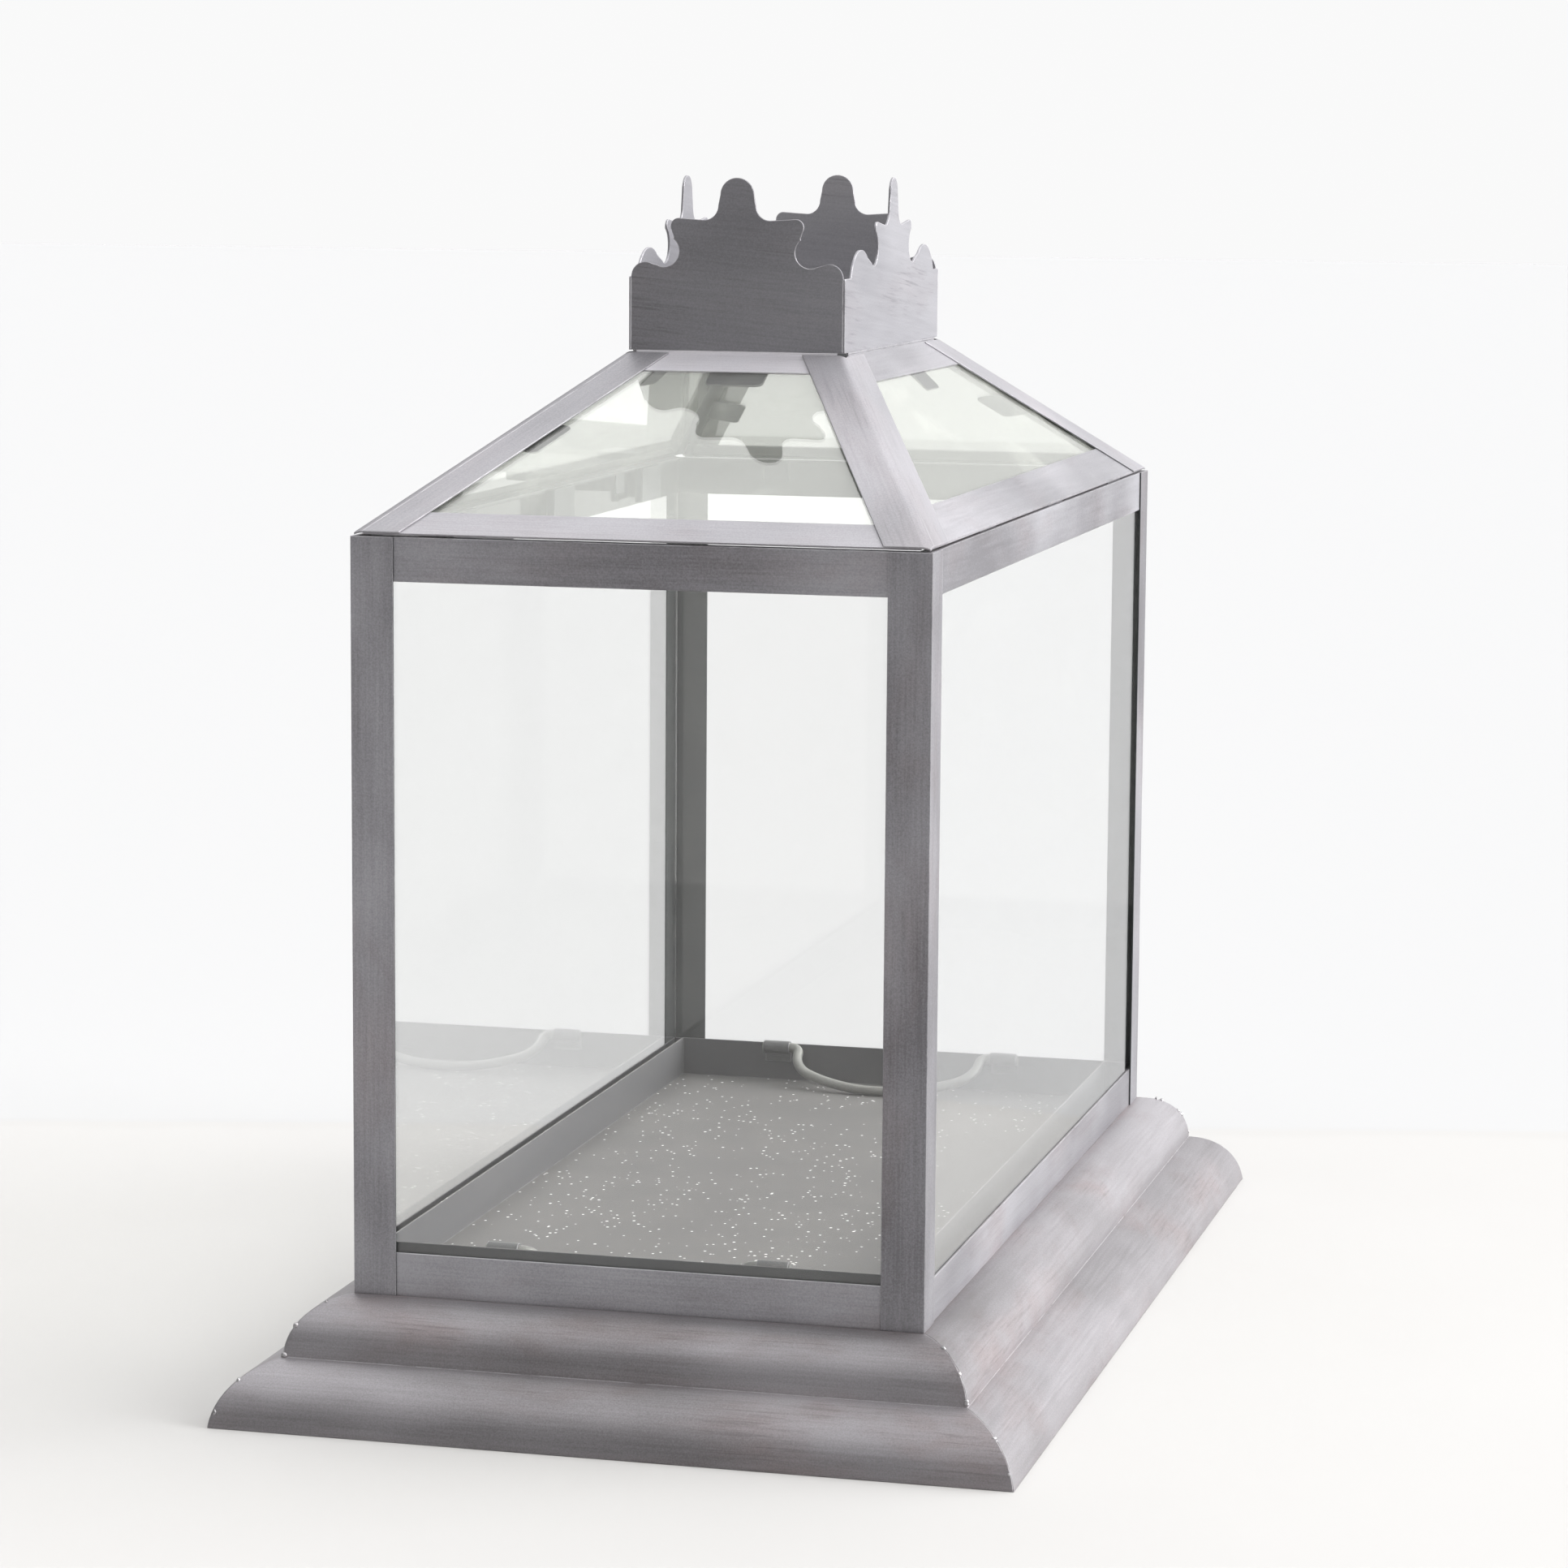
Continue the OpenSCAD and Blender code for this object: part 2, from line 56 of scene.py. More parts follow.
def make_camera():
    """The viewing angle of the photograph: from the front right, a little above the lid's crest."""
    forward = Vector((
        -math.sin(CAMERA_YAW) * math.cos(CAMERA_DOWN),
        math.cos(CAMERA_YAW) * math.cos(CAMERA_DOWN),
        -math.sin(CAMERA_DOWN),
    ))
    right = Vector((math.cos(CAMERA_YAW), math.sin(CAMERA_YAW), 0))
    up = right.cross(forward)
    turned_right = right * math.cos(CAMERA_ROLL) + up * math.sin(CAMERA_ROLL)
    turned_up = up * math.cos(CAMERA_ROLL) - right * math.sin(CAMERA_ROLL)
    data = bpy.data.cameras.new("camera")
    data.sensor_width = SENSOR
    data.lens = FOCAL
    camera = bpy.data.objects.new("camera", data)
    camera.matrix_world = Matrix((
        (turned_right.x, turned_up.x, -forward.x, CAMERA_AT.x),
        (turned_right.y, turned_up.y, -forward.y, CAMERA_AT.y),
        (turned_right.z, turned_up.z, -forward.z, CAMERA_AT.z),
        (0, 0, 0, 1),
    ))
    bpy.context.scene.collection.objects.link(camera)
    bpy.context.scene.camera = camera


make_camera()

# ---- small node helpers --------------------------------------------------------------


class Nodes:
    """A node tree with short calls: add returns the node, and the others an output socket."""

    def __init__(self, tree, emptied=True):
        self.tree = tree
        if emptied:
            tree.nodes.clear()

    def add(self, kind, inputs=None, **settings):
        node = self.tree.nodes.new(kind)
        for name, value in settings.items():
            setattr(node, name, value)
        for name, value in (inputs or {}).items():
            socket = node.inputs[name]
            if isinstance(value, bpy.types.NodeSocket):
                self.tree.links.new(value, socket)
            else:
                socket.default_value = value
        return node

    def link(self, source, socket):
        self.tree.links.new(source, socket)

    def surface(self, source, volume=None):
        """Ends the tree: source is what is seen, and volume what fills the inside."""
        output = self.add("ShaderNodeOutputMaterial")
        self.link(source, output.inputs["Surface"])
        if volume is not None:
            self.link(volume, output.inputs["Volume"])

    def math(self, operation, a, b=0.0, c=0.0, clamp=False):
        node = self.add("ShaderNodeMath", {0: a, 1: b, 2: c}, operation=operation, use_clamp=clamp)
        return node.outputs[0]

    def vector(self, operation, a, b):
        return self.add("ShaderNodeVectorMath", {0: a, 1: b}, operation=operation).outputs["Vector"]

    def dot(self, a, b):
        return self.add("ShaderNodeVectorMath", {0: a, 1: b}, operation="DOT_PRODUCT").outputs["Value"]

    def flipped(self, value):
        return self.math("SUBTRACT", 1.0, value)

    def swing(self, value, amount):
        """A noise about one half, turned into a change of plus or minus half the amount."""
        return self.math("MULTIPLY", self.math("SUBTRACT", value, 0.5), amount)

    def ramp(self, value, low, high):
        """0 below low and 1 above high, smooth between."""
        node = self.add("ShaderNodeMapRange", {
            "Value": value, "From Min": low, "From Max": high, "To Min": 0.0, "To Max": 1.0,
        }, interpolation_type="SMOOTHSTEP")
        return node.outputs["Result"]

    def noise(self, vector, scale, detail=2.0, roughness=0.5, distortion=0.0):
        node = self.add("ShaderNodeTexNoise", {
            "Vector": vector, "Scale": scale, "Detail": detail, "Roughness": roughness,
            "Distortion": distortion,
        })
        return node.outputs["Fac"]

    def drawn_out(self, vector, scales, detail=2.0, roughness=0.5, distortion=0.0):
        """Noise with its own scale along each axis."""
        scaled = self.add("ShaderNodeMapping", {"Vector": vector, "Scale": scales}).outputs[0]
        return self.noise(scaled, 1.0, detail, roughness, distortion)

    def mix(self, factor, a, b, blend="MIX"):
        colours = {0: factor, 6: a, 7: b}
        return self.add("ShaderNodeMix", colours, data_type="RGBA", blend_type=blend).outputs[2]

    def bump(self, height, strength, distance, normal):
        return self.add("ShaderNodeBump", {
            "Height": height, "Strength": strength, "Distance": distance, "Normal": normal,
        }).outputs[0]


def new_material(name):
    """An empty material and its node tree."""
    material = bpy.data.materials.new(name)
    material.use_nodes = True
    return material, Nodes(material.node_tree)


def rgb(red, green, blue):
    """A colour given as it looks on screen, in 0 to 255, as linear values."""
    def linear(value):
        value /= 255.0
        return value / 12.92 if value <= 0.04045 else ((value + 0.055) / 1.055) ** 2.4
    return (linear(red), linear(green), linear(blue), 1.0)


# ---- zinc ----------------------------------------------------------------------------

# Scales of the noises, in cells per metre: along the grain and, twice, across it.
FINE_BRUSHING = (14, 620, 620)
LONG_BRUSHING = (4, 130, 130)
STREAKS = (22, 520, 520)
CLOUDS = (6, 11, 11)
BROAD_CLOUDS = (2.0, 4, 4)
STAINS = (7, 16, 16)
SHEET_WAVES = (5, 11, 11)
GRIT = 900.0
WEAR = 60.0

STREAK_TONE = rgb(84, 83, 87)
BROWN_BLOOM = (0.86, 0.72, 0.68, 1)
# Pale edges along folds and cuts: part rubbed-bare zinc, part painted highlight.
PALE_EDGE_WEAR_AND_HIGHLIGHT = rgb(214, 212, 216)
# Painted shade on the faces that look inwards: a dark green-grey.
INWARD_PAINTED_SHADE = rgb(38, 46, 45)
EDGE_RADIUS = 1.1 * MM
CREASE_WIDTH = 16 * MM


def along_grain(n, place, grain):
    """The place shifted differently on each piece, as it is and turned so that X follows the grain."""
    chance = n.add("ShaderNodeObjectInfo").outputs["Random"]
    shift = n.add("ShaderNodeCombineXYZ", {
        0: n.math("MULTIPLY", chance, 7.3),
        1: n.math("MULTIPLY", chance, 3.1),
        2: n.math("MULTIPLY", chance, 5.7),
    }).outputs[0]
    at = n.vector("ADD", place, shift)
    turn = Vector(grain).normalized().rotation_difference(Vector((1, 0, 0))).to_euler()
    return at, n.add("ShaderNodeMapping", {"Vector": at, "Rotation": turn}).outputs[0]


def patina_tone(n, lined, brush, grit, cloudy):
    """Where each spot lies between the dark and the light tone of the sheet."""
    tone = 0.5
    for value, amount in (
        (n.drawn_out(lined, CLOUDS), 1.5 * cloudy),
        (n.drawn_out(lined, BROAD_CLOUDS), 1.3 * cloudy),
        (brush, 0.65),
        (n.drawn_out(lined, LONG_BRUSHING, detail=4.0, roughness=0.6), 0.28),
        (grit, 0.9),
    ):
        tone = n.math("ADD", tone, n.swing(value, amount))
    return tone


def brown_bloom(n, stain, bloom):
    """Brown in patches, and stronger where another sheet comes close."""
    clear_sight = n.add("ShaderNodeAmbientOcclusion", {"Distance": CREASE_WIDTH}, samples=4).outputs["AO"]
    crease = n.flipped(n.ramp(clear_sight, 0.2, 0.8))
    patches = n.math("MULTIPLY", n.ramp(stain, 0.44, 0.74), bloom)
    return n.math("ADD", patches, n.math("MULTIPLY", crease, bloom * 0.7), clamp=True)


def edges_worn_and_highlit(n, at, rounded, true_normal):
    """Folds and cuts, where the rounded normal differs from the true one, here and there: paler edges that
    are part rubbed bare and part painted highlight.
    """
    at_edge = n.flipped(n.ramp(n.dot(rounded, true_normal), 0.86, 0.995))
    return n.math("MULTIPLY", at_edge, n.ramp(n.noise(at, WEAR, detail=3.0), 0.3, 0.55))


def inner_faces(n, place, true_normal):
    """1 on the faces that look towards the middle of the case, and 0 on the others; it masks the painted
    shade on those faces.
    """
    level = n.vector("MULTIPLY", place, (1, 1, 0))
    return n.flipped(n.ramp(n.dot(level, true_normal), -0.06, -0.01))


def zinc(name, dark, light, grain, bloom=0.4, rough=0.46, metal=0.55, streaks=0.12, wave=0.35,
         wear_and_highlight=0.5, cloudy=1.0, inside=0.0):
    """Patinated sheet between two tones, brushed along grain.

    bloom is the strength of the brown, streaks of the long dark brush marks, wave of the sheet's
    unevenness, wear of the pale edges, part rubbed bare and part painted highlight, cloudy of the
    changes of tone, and inside of the painted shade, dark and greenish, on the faces that look inwards.
    """
    material, n = new_material(name)
    place = n.add("ShaderNodeTexCoord").outputs["Object"]
    true_normal = n.add("ShaderNodeNewGeometry").outputs["Normal"]
    rounded = n.add("ShaderNodeBevel", {"Radius": EDGE_RADIUS}, samples=4).outputs[0]
    at, lined = along_grain(n, place, grain)
    brush = n.drawn_out(lined, FINE_BRUSHING, detail=3.0, roughness=0.62)
    grit = n.noise(at, GRIT, detail=2.0, roughness=0.6)
    stain = n.drawn_out(lined, STAINS, detail=5.0, roughness=0.6, distortion=0.3)
    streak = n.ramp(n.drawn_out(lined, STREAKS, distortion=0.5), 0.52, 0.68)
    streak = n.math("MULTIPLY", streak, n.ramp(stain, 0.46, 0.66))
    brown = brown_bloom(n, stain, bloom)
    worn_and_highlit = edges_worn_and_highlit(n, at, rounded, true_normal)
    inward_shade = inner_faces(n, place, true_normal)

    colour = n.mix(patina_tone(n, lined, brush, grit, cloudy), dark, light)
    colour = n.mix(n.math("MULTIPLY", streak, streaks), colour, STREAK_TONE, "MULTIPLY")
    colour = n.mix(brown, colour, BROWN_BLOOM, "MULTIPLY")
    # Pale edges, part rubbed bare and part painted highlight.
    colour = n.mix(n.math("MULTIPLY", worn_and_highlit, wear_and_highlight), colour, PALE_EDGE_WEAR_AND_HIGHLIGHT)
    # Painted shade: the faces that look inwards are turned dark green-grey.
    colour = n.mix(n.math("MULTIPLY", inward_shade, inside), colour, INWARD_PAINTED_SHADE)

    roughness = n.math("ADD", rough, n.swing(brush, 0.16))
    roughness = n.math("ADD", roughness, n.math("MULTIPLY", brown, 0.18))
    roughness = n.math("SUBTRACT", roughness, n.math("MULTIPLY", worn_and_highlit, 0.08))

    waves = n.drawn_out(lined, SHEET_WAVES, detail=1.0)
    uneven = n.bump(waves, wave, 0.8 * MM, rounded)
    scratches = n.math("ADD", brush, n.math("MULTIPLY", grit, 0.6))
    normal = n.bump(scratches, 0.3, 0.05 * MM, uneven)

    shader = n.add("ShaderNodeBsdfPrincipled", {
        "Base Color": colour, "Roughness": roughness, "Normal": normal, "Metallic": metal,
    })
    n.surface(shader.outputs[0])
    return material


# ---- tray ----------------------------------------------------------------------------

# Sizes of crumb: cells per metre, radius in cells, and the share of the cells that hold one.
CRUMB_SIZES = ((160.0, 0.24, 0.07), (240.0, 0.30, 0.11), (90.0, 0.14, 0.03))
DUST_FILM = rgb(132, 129, 126)
CRUMB_TONE = rgb(240, 239, 236)


def pale_crumbs(n, place, heaps):
    """Small round specks, thicker where the dust has heaped up."""
    crumbs = 0.0
    for scale, radius, share in CRUMB_SIZES:
        cells = n.add("ShaderNodeTexVoronoi", {"Vector": place, "Scale": scale})
        pick = n.add("ShaderNodeSeparateColor", {0: cells.outputs["Color"]}).outputs[0]
        chance = n.math("MULTIPLY", n.math("ADD", heaps, 0.12), share * 1.7)
        chosen = n.math("LESS_THAN", pick, chance)
        speck = n.flipped(n.ramp(cells.outputs["Distance"], radius * 0.55, radius))
        crumbs = n.math("MAXIMUM", crumbs, n.math("MULTIPLY", speck, chosen))
    return crumbs


def dusty(name, dark, light):
    """Dull zinc with a film of settled dust and pale crumbs on what faces up."""
    material = zinc(name, dark, light, Y, bloom=0.1, rough=0.55, metal=0.3, wear_and_highlight=0.2, cloudy=0.25,
                    streaks=0.0)
    tree = material.node_tree
    inputs = next(node for node in tree.nodes if node.type == "BSDF_PRINCIPLED").inputs
    metal = {key: inputs[key].links[0].from_socket for key in ("Base Color", "Roughness", "Normal")}
    n = Nodes(tree, emptied=False)
    place = n.add("ShaderNodeTexCoord").outputs["Object"]
    flat_normal = n.add("ShaderNodeNewGeometry").outputs["True Normal"]
    up = n.ramp(n.add("ShaderNodeSeparateXYZ", {0: flat_normal}).outputs[2], 0.6, 0.9)
    heaps = n.ramp(n.noise(place, 12.0, detail=4.0, roughness=0.65), 0.36, 0.66)
    film = n.math("MULTIPLY", up, n.math("ADD", n.math("MULTIPLY", heaps, 0.10), 0.40))
    crumbs = n.math("MULTIPLY", pale_crumbs(n, place, heaps), up)

    colour = n.mix(film, metal["Base Color"], DUST_FILM)
    n.link(n.mix(crumbs, colour, CRUMB_TONE), inputs["Base Color"])
    n.link(n.math("ADD", metal["Roughness"], n.math("MULTIPLY", up, 0.22)), inputs["Roughness"])
    n.link(n.bump(crumbs, 0.15, 0.3 * MM, metal["Normal"]), inputs["Normal"])
    return material


# ---- glass ---------------------------------------------------------------------------

GREEN_BODY = (0.70, 0.86, 0.80, 1)
BODY_DENSITY = 9.0
DRY_DUST = rgb(214, 216, 208)


def window_glass(name, tint, haze, even_dust):
    """Float glass that lets the lamps through: haze is how far marks and spots show on its dust."""
    material, n = new_material(name)
    place = n.add("ShaderNodeTexCoord").outputs["Object"]
    marks = n.ramp(n.noise(place, 14.0, detail=4.0, roughness=0.6, distortion=0.8), 0.5, 0.78)
    spots = n.ramp(n.noise(place, 380.0), 0.68, 0.76)
    film = n.math("ADD", n.math("MULTIPLY", marks, haze), n.math("MULTIPLY", spots, haze * 2.0))
    film = n.math("ADD", film, even_dust)
    clear = n.add("ShaderNodeBsdfPrincipled", {
        "Base Color": tint, "Roughness": 0.0, "IOR": 1.5, "Transmission Weight": 1.0,
    })
    dust = n.add("ShaderNodeBsdfPrincipled", {"Base Color": DRY_DUST, "Roughness": 0.9})
    seen = n.add("ShaderNodeMixShader", {0: film, 1: clear.outputs[0], 2: dust.outputs[0]})
    open_to_lamps = n.add("ShaderNodeBsdfTransparent", {"Color": tint})
    shadow = n.add("ShaderNodeLightPath").outputs["Is Shadow Ray"]
    both = n.add("ShaderNodeMixShader", {0: shadow, 1: seen.outputs[0], 2: open_to_lamps.outputs[0]})
    body = n.add("ShaderNodeVolumeAbsorption", {"Color": GREEN_BODY, "Density": BODY_DENSITY})
    n.surface(both.outputs[0], volume=body.outputs[0])
    return material


# ---- materials on the CAD nodes --------------------------------------------------------

FRAME_TONES = rgb(112, 110, 114), rgb(164, 163, 168)
PALE_TONES = rgb(133, 132, 136), rgb(172, 170, 175)
# Painted light: the front and back ring rails get far lighter tones than the side ones, offsetting the
# shade the crest throws on them.
RING_TONES_PAINTED_LIGHT = rgb(202, 200, 205), rgb(226, 224, 229)
BASE_TONES = rgb(118, 115, 117), rgb(160, 157, 161)
# Painted light and shade: lit and shaded copies of one zinc, one per side of the crest, the back lightest
# and the front darkest.
CREST_TONES_PAINTED_LIGHT = {
    "front": (rgb(118, 117, 121), rgb(150, 149, 154)), "back": (rgb(150, 149, 153), rgb(182, 181, 185)),
    "right": (rgb(134, 133, 138), rgb(170, 169, 174)), "left": (rgb(134, 133, 138), rgb(170, 169, 174)),
}
CREST_BRUSHING = -0.09  # how far the crests' brush marks sink, per metre along
SIDES = {"front": ("x", X), "right": ("y", Y), "back": ("x", X), "left": ("y", Y)}
CORNERS = [(y_name, x_name, x_sign, y_sign) for y_name, y_sign in (("front", -1), ("back", 1))
           for x_name, x_sign in (("right", 1), ("left", -1))]

shared_materials = {}


def hip_direction(x_sign, y_sign):
    """The line of a hip, from the eave corner to the crest corner."""
    lo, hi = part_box("eave_rail_front")[0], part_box("ring_rail_right")[1]
    rise = hi.z - lo.z
    run_x = -lo.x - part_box("crest_front")[1].x
    run_y = -lo.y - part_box("crest_right")[1].y
    return (-x_sign * run_x, -y_sign * run_y, rise)


def shared(kind, axis_name, axis, tones, **settings):
    """One zinc for every piece of a kind that is brushed along the same axis."""
    key = f"{kind}_{axis_name}"
    if key not in shared_materials:
        shared_materials[key] = zinc(key, *tones, axis, **settings)
    return shared_materials[key]


def paint(node, material):
    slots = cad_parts[node].data.materials
    slots.clear()
    slots.append(material)


def paint_case():
    for side, (axis_name, axis) in SIDES.items():
        paint(f"skirt_{side}", shared("base_zinc", axis_name, axis, BASE_TONES, bloom=0.55,
                                      wave=0.5, streaks=0.2))
        for rail in ("bottom_rail", "top_rail"):
            paint(f"{rail}_{side}", shared("frame_zinc", axis_name, axis, FRAME_TONES,
                                           inside=0.7, cloudy=1.2))
    for y_name, x_name, *_ in CORNERS:
        paint(f"post_{y_name}_{x_name}", shared("frame_zinc", "z", Z, FRAME_TONES,
                                                inside=0.85, cloudy=1.2))


def paint_lid():
    for side, (axis_name, axis) in SIDES.items():
        paint(f"eave_rail_{side}", shared("lid_zinc", axis_name, axis, PALE_TONES, bloom=0.2,
                                          inside=0.6))
        # Painted light: the front and back ring rails are made lighter than the side ones.
        ring_tones_lit_front_back = RING_TONES_PAINTED_LIGHT if axis_name == "x" else PALE_TONES
        paint(f"ring_rail_{side}", shared("ring_zinc", axis_name, axis, ring_tones_lit_front_back, bloom=0.1,
                                          inside=0.6))
        slant = (axis[0], axis[1], CREST_BRUSHING)
        # Painted light and shade: each side of the crest gets its own tones.
        paint(f"crest_{side}", zinc(f"crest_zinc_{side}", *CREST_TONES_PAINTED_LIGHT[side], slant,
                                    streaks=0.32, bloom=0.15, wear_and_highlight=0.9, wave=0.2, cloudy=0.7))
    for y_name, x_name, x_sign, y_sign in CORNERS:
        paint(f"hip_strap_{y_name}_{x_name}", zinc(
            f"strap_zinc_{y_name}_{x_name}", *PALE_TONES, hip_direction(x_sign, y_sign),
            bloom=0.2, inside=0.6))
    paint("cap_plate", shared("cap_zinc", "y", Y, PALE_TONES))


def paint_tray():
    paint("tray_pan", dusty("tray_zinc", rgb(72, 72, 74), rgb(92, 92, 93)))
    sleeve_metal = zinc("sleeve_zinc", rgb(84, 85, 86), rgb(120, 120, 120), X, bloom=0.2, rough=0.5)
    rod_metal = zinc("rod_zinc", rgb(116, 117, 114), rgb(150, 150, 146), X, bloom=0.2, rough=0.5,
                     streaks=0.1, wear_and_highlight=0.0, wave=0.1)
    for end in ("front", "back"):
        paint(f"sleeves_{end}", sleeve_metal)
        paint(f"handle_{end}", rod_metal)


def paint_hidden_sheet():
    dark_sheet = zinc("dark_zinc", rgb(62, 63, 66), rgb(92, 92, 96), X, bloom=0.2)
    for node in ("roof_clips", "locating_lugs", "wall_clips", "base_plate"):
        paint(node, dark_sheet)


def paint_glass():
    wall_glass = window_glass("wall_glass", (0.962, 0.960, 0.958, 1), haze=0.012, even_dust=0.0)
    roof_glass = window_glass("roof_glass", (0.896, 0.900, 0.877, 1), haze=0.08, even_dust=0.08)
    for side in SIDES:
        paint(f"wall_glass_{side}", wall_glass)
        paint(f"roof_glass_{side}", roof_glass)


paint_case()
paint_lid()
paint_tray()
paint_hidden_sheet()
paint_glass()

# ---- solder on the mitres of the base -----------------------------------------------------

# The outer skin of the base, as shares of its height, and how far the lower moulding bows out.
CREASE_HEIGHT = 0.525
CREASE_REACH = 0.475
LOWER_BOW = 9.2 * MM
# Where beads of solder sit: the share of the way down a moulding, and whether it is the upper one.
SOLDER_SPOTS = ((0.30, True), (0.62, True), (0.97, True), (0.45, False), (0.86, False))
SUNK_INWARDS = 0.6 * MM
SUNK_DOWN = 0.4 * MM
LUMP_RINGS = 7
LUMP_AROUND = 12


def lump(centre, size, stretch, rng, verts, faces):
    """One uneven blob of solder, added to a mesh's lists."""
    first = len(verts)
    phase = [rng.uniform(0, 6.28) for _ in range(3)]
    for i in range(LUMP_RINGS + 1):
        polar = math.pi * i / LUMP_RINGS
        for j in range(LUMP_AROUND):
            turn = 2 * math.pi * j / LUMP_AROUND
            swell = 1 + 0.16 * math.sin(2 * turn + phase[0]) + 0.10 * math.sin(3 * polar + phase[1])
            swell += 0.08 * math.sin(5 * turn + phase[2]) * math.sin(polar)
            verts.append(centre + Vector((
                math.sin(polar) * math.cos(turn),
                math.sin(polar) * math.sin(turn),
                math.cos(polar) * stretch,
            )) * size * swell)
    for i in range(LUMP_RINGS):
        for j in range(LUMP_AROUND):
            a = first + i * LUMP_AROUND + j
            b = first + i * LUMP_AROUND + (j + 1) % LUMP_AROUND
            faces.append((a, a + LUMP_AROUND, b + LUMP_AROUND, b))


def moulding_point(share, upper):
    """Reach past the posts and height of a point on the skin: the upper quarter round or the lower bow."""
    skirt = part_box("skirt_front")
    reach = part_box("post_front_right")[0].y - skirt[0].y
    top = skirt[1].z
    crease = Vector((CREASE_REACH * top, CREASE_HEIGHT * top))
    if upper:
        turn = math.radians(90 * share)
        return crease.x * math.sin(turn), crease.y + (top - crease.y) * math.cos(turn)
    down = Vector((reach, 0)) - crease
    outwards = Vector((-down.y, down.x)).normalized()
    point = crease + down * share + outwards * LOWER_BOW * math.sin(math.pi * share)
    return point.x, point.y


def solder_piece(name, corner, x_sign, y_sign, rng, metal):
    """The beads down one mitre of the base, sunk a little into the skin."""
    verts, faces = [], []
    for share, upper in SOLDER_SPOTS:
        for _ in range(rng.choice((1, 2, 2))):
            place = min(0.99, max(0.02, share + rng.uniform(-0.05, 0.05)))
            reach, height = moulding_point(place, upper)
            reach -= SUNK_INWARDS
            centre = Vector((x_sign * (corner.x + reach), y_sign * (corner.y + reach),
                             height - SUNK_DOWN))
            size = rng.uniform(1.1, 2.1) * MM
            lump(centre, size, rng.uniform(0.8, 1.3), rng, verts, faces)
    mesh = bpy.data.meshes.new(name)
    mesh.from_pydata(verts, [], faces)
    for polygon in mesh.polygons:
        polygon.use_smooth = True
    mesh.materials.append(metal)
    piece = bpy.data.objects.new(name, mesh)
    bpy.context.scene.collection.objects.link(piece)
    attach(piece, "base")


def make_solder():
    metal = zinc("solder", rgb(120, 119, 121), rgb(196, 195, 197), Z, bloom=0.5, rough=0.35,
                 metal=0.8, wear_and_highlight=0.3)
    front_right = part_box("post_front_right")
    corner = Vector((front_right[1].x, -front_right[0].y))
    for x_name, x_sign in (("right", 1), ("left", -1)):
        for y_name, y_sign in (("front", -1), ("back", 1)):
            rng = random.Random(f"solder {x_name} {y_name}")
            solder_piece(f"solder_{y_name}_{x_name}", corner, x_sign, y_sign, rng, metal)


make_solder()

# ---- floor and light -------------------------------------------------------------------

FLOOR_REACH = 30.0
FLOOR_DROP = 0.2 * MM
WALL_DISTANCE = 4.05
FLOOR_NEAR = rgb(190, 188.5, 187), rgb(193, 192, 191)
FLOOR_BEYOND = rgb(189.5, 189.5, 190)
# Painted shade: the faint dark line at the foot of a wall that isn't there.
WALL_FOOT_SHADE_TONE = rgb(120, 118, 116)
WALL_FOOT_SHADE_STRENGTH = 0.04
LIGHT_KEPT_BACK = 0.28


def floor_material():
    """Pale paint; past a faint dark line behind the object, painted shade where a wall would meet the
    floor, it takes the cooler tone of a wall.
    """
    material, n = new_material("floor")
    place = n.add("ShaderNodeTexCoord").outputs["Object"]
    away = Vector((-math.sin(CAMERA_YAW), math.cos(CAMERA_YAW), 0))
    past = n.math("SUBTRACT", n.dot(place, away), CAMERA_AT.dot(away) + WALL_DISTANCE)
    wobble = n.swing(n.noise(place, 6.0, detail=3.0), 0.05)
    wall_foot_line = n.flipped(n.ramp(n.math("ABSOLUTE", n.math("ADD", past, wobble)), 0.004, 0.03))
    near = n.mix(n.noise(place, 2.5, detail=3.0), *FLOOR_NEAR)
    colour = n.mix(n.ramp(past, 0.0, 0.02), near, FLOOR_BEYOND)
    # Painted shade: the faint dark line where a wall would stand on the floor.
    colour = n.mix(n.math("MULTIPLY", wall_foot_line, WALL_FOOT_SHADE_STRENGTH), colour, WALL_FOOT_SHADE_TONE)
    # It throws less light back onto the object than its tone would.
    thrown_back = n.add("ShaderNodeLightPath").outputs["Is Diffuse Ray"]
    colour = n.mix(n.math("MULTIPLY", thrown_back, LIGHT_KEPT_BACK), colour, (0, 0, 0, 1))
    shader = n.add("ShaderNodeBsdfPrincipled", {
        "Base Color": colour, "Roughness": 0.8, "Specular IOR Level": 0.0,
    })
    n.surface(shader.outputs[0])
    return material


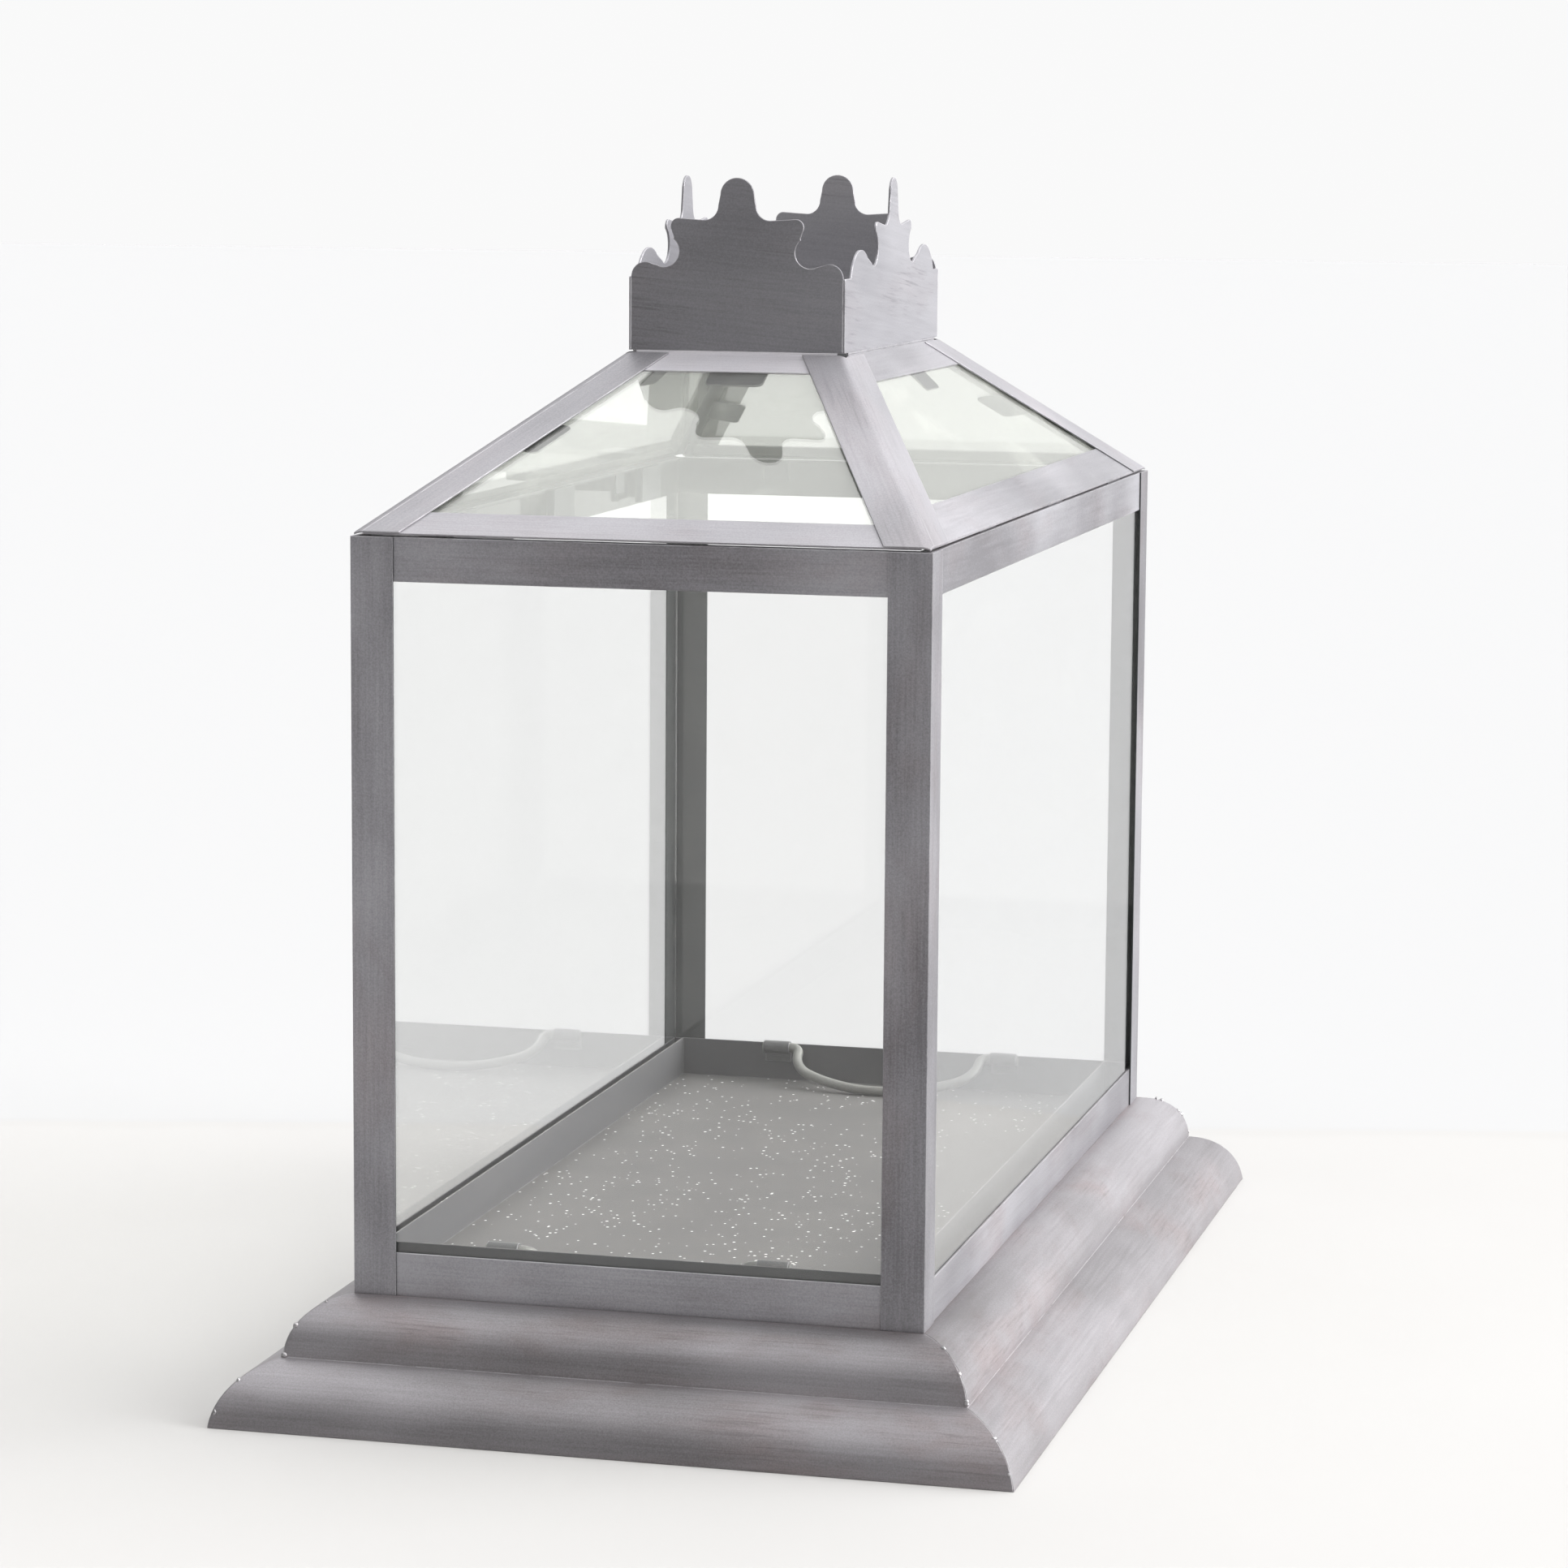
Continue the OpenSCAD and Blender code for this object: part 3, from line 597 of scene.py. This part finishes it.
def make_floor():
    corners = [(-1, -1), (1, -1), (1, 1), (-1, 1)]
    mesh = bpy.data.meshes.new("floor")
    mesh.from_pydata([(FLOOR_REACH * x, FLOOR_REACH * y, -FLOOR_DROP) for x, y in corners], [],
                     [(0, 1, 2, 3)])
    mesh.materials.append(floor_material())
    floor = bpy.data.objects.new("floor", mesh)
    bpy.context.scene.collection.objects.link(floor)


def soft_sun(name, toward, strength, spread):
    """Light from a wide patch of sky: toward points at its middle, and spread is its width in degrees."""
    data = bpy.data.lights.new(name, "SUN")
    data.energy = strength
    data.angle = math.radians(spread)
    lamp = bpy.data.objects.new(name, data)
    lamp.rotation_euler = Vector(toward).to_track_quat("Z", "Y").to_euler()
    lamp.location = Vector(toward) * 3
    bpy.context.scene.collection.objects.link(lamp)


def make_lights():
    soft_sun("window", toward=(1.0, 0.28, 0.28), strength=5.7, spread=60)
    soft_sun("ceiling", toward=(0.10, 0.05, 1.0), strength=3.1, spread=100)


# Brightness of the surroundings: where they're seen, and where they light, with what each side adds.
SEEN = 0.95
LIT_ALL_ROUND = 0.20
LIT_RIGHT = 0.10
LIT_BACK = 0.62
LIT_ABOVE = 0.08


def make_world():
    """Pale surroundings: plain where seen, dimmer towards the front where they only light."""
    world = bpy.data.worlds.new("world")
    bpy.context.scene.world = world
    world.use_nodes = True
    n = Nodes(world.node_tree)
    direction = n.add("ShaderNodeTexCoord").outputs["Generated"]
    right, back, above = n.add("ShaderNodeSeparateXYZ", {0: direction}).outputs
    sides = n.math("ADD", n.math("MULTIPLY", right, LIT_RIGHT),
                   n.math("MULTIPLY", n.ramp(back, 0.25, 0.85), LIT_BACK))
    rest = n.math("ADD", n.math("MULTIPLY", above, LIT_ABOVE), LIT_ALL_ROUND)
    total = n.math("ADD", sides, rest, clamp=True)
    paths = n.add("ShaderNodeLightPath")
    lights = n.math("MAXIMUM", paths.outputs["Is Diffuse Ray"], paths.outputs["Is Glossy Ray"])
    strength = n.math("MULTIPLY_ADD", lights, n.math("SUBTRACT", total, SEEN), SEEN)
    background = n.add("ShaderNodeBackground", {"Color": (1, 1, 1, 1), "Strength": strength})
    output = n.add("ShaderNodeOutputWorld")
    n.link(background.outputs[0], output.inputs["Surface"])


make_floor()
make_lights()
make_world()
bpy.context.scene.view_settings.view_transform = "Standard"
